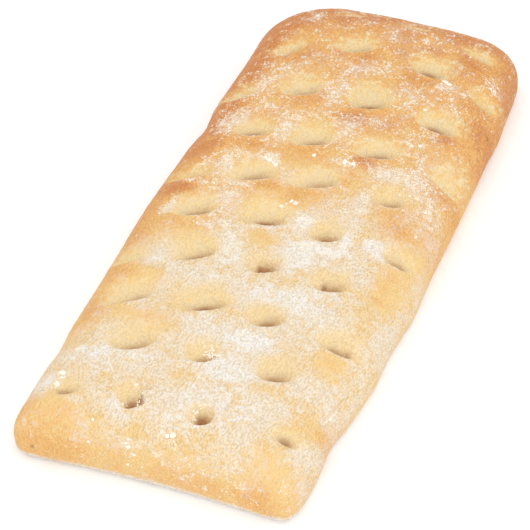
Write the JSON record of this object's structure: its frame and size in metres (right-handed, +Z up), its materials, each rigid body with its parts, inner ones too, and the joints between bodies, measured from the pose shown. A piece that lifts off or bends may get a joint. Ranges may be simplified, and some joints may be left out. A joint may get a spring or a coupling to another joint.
{
  "type": "sheet focaccia",
  "caption": "Long flat loaf with rounded shoulders and a flat base; its crust is pressed in by staggered rows of finger marks and dusted with flour.",
  "frame": {"origin": "on the base's plane, under the middle of the loaf's box", "axes": "+X across the loaf, +Y along it from the near, square end to the far, rounder end, +Z up out of the crust"},
  "size_m": [0.132, 0.321, 0.0287],
  "materials": {
    "crust": "golden, matte crust, browner on its ridges, paler in the finger marks and dusted with white flour"
  },
  "bodies": {
    "root": {"focaccia": "crust"}
  },
  "joints": []
}
